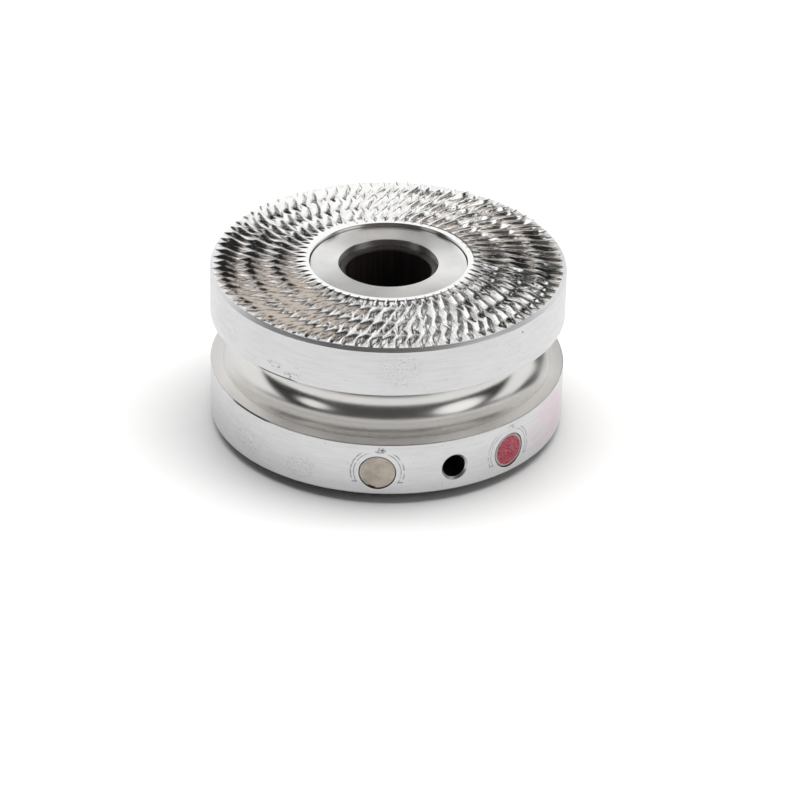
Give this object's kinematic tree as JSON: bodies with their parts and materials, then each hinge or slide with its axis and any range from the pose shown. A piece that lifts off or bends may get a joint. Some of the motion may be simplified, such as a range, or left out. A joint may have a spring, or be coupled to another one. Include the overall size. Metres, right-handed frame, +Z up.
{
  "type": "belt-driven grinding head",
  "caption": "Spool-shaped aluminium grinding wheel with a barbed face and a belt groove, turning on sealed ball bearings round a fixed flanged hub.",
  "frame": {"origin": "on the spindle axis, at the lower end of the hub sleeve, where the part stands", "axes": "+Z up the spindle axis towards the barbed face; -Y towards the side with the plain magnet; +X towards the inked magnet's side"},
  "size_m": [0.05, 0.05, 0.0247],
  "materials": {
    "turned_aluminium": "fine turned on the flanges, polished in the belt groove",
    "toothed_aluminium": "bright cut barbs, mirror-like facets",
    "nickel_plate": "satin nickel plate, slightly warm",
    "red_ink": "streaky red marker ink over nickel plate",
    "hub_steel": "fine ground, satin",
    "dark_steel": "black oxide",
    "bearing_steel": "ground and polished",
    "spring_steel": "tempered",
    "spacer_aluminium": "plain turned",
    "cage_brass": "pressed",
    "seal_rubber": "moulded, matt",
    "black_polymer": "moulded, slightly polished by use"
  },
  "bodies": {
    "hub": {"hub_sleeve": "hub_steel", "upper_liner": "black_polymer", "lower_liner": "black_polymer", "upper_inner_race": "bearing_steel", "lower_inner_race": "bearing_steel", "inner_spacer": "spacer_aluminium", "thrust_washer": "hub_steel", "lock_nut": "dark_steel"},
    "wheel": {"wheel_body": "turned_aluminium", "toothed_ring": "toothed_aluminium", "drive_pins": "dark_steel", "plain_magnet": "nickel_plate", "inked_magnet": "red_ink", "grub_screw": "dark_steel", "retaining_ring": "dark_steel", "outer_spacer": "spacer_aluminium", "preload_spring": "spring_steel", "upper_outer_race": "bearing_steel", "upper_top_seal": "seal_rubber", "upper_bottom_seal": "seal_rubber", "lower_outer_race": "bearing_steel", "lower_top_seal": "seal_rubber", "lower_bottom_seal": "seal_rubber"},
    "upper_ball_set": {"upper_cage": "cage_brass", "upper_balls": "bearing_steel"},
    "lower_ball_set": {"lower_cage": "cage_brass", "lower_balls": "bearing_steel"}
  },
  "joints": [
    {"name": "wheel_spin", "type": "hinge", "parent": "hub", "child": "wheel", "pos_m": [0, 0, 0.012], "axis": [0, 0, 1], "continuous": true},
    {"name": "upper_ball_set_spin", "type": "hinge", "parent": "hub", "child": "upper_ball_set", "pos_m": [0, 0, 0.0197], "axis": [0, 0, 1], "continuous": true},
    {"name": "lower_ball_set_spin", "type": "hinge", "parent": "hub", "child": "lower_ball_set", "pos_m": [0, 0, 0.0057], "axis": [0, 0, 1], "continuous": true}
  ],
  "couplings": [
    {"joint": "upper_ball_set_spin", "follows": "wheel_spin", "ratio": 0.5558},
    {"joint": "lower_ball_set_spin", "follows": "wheel_spin", "ratio": 0.5558}
  ]
}
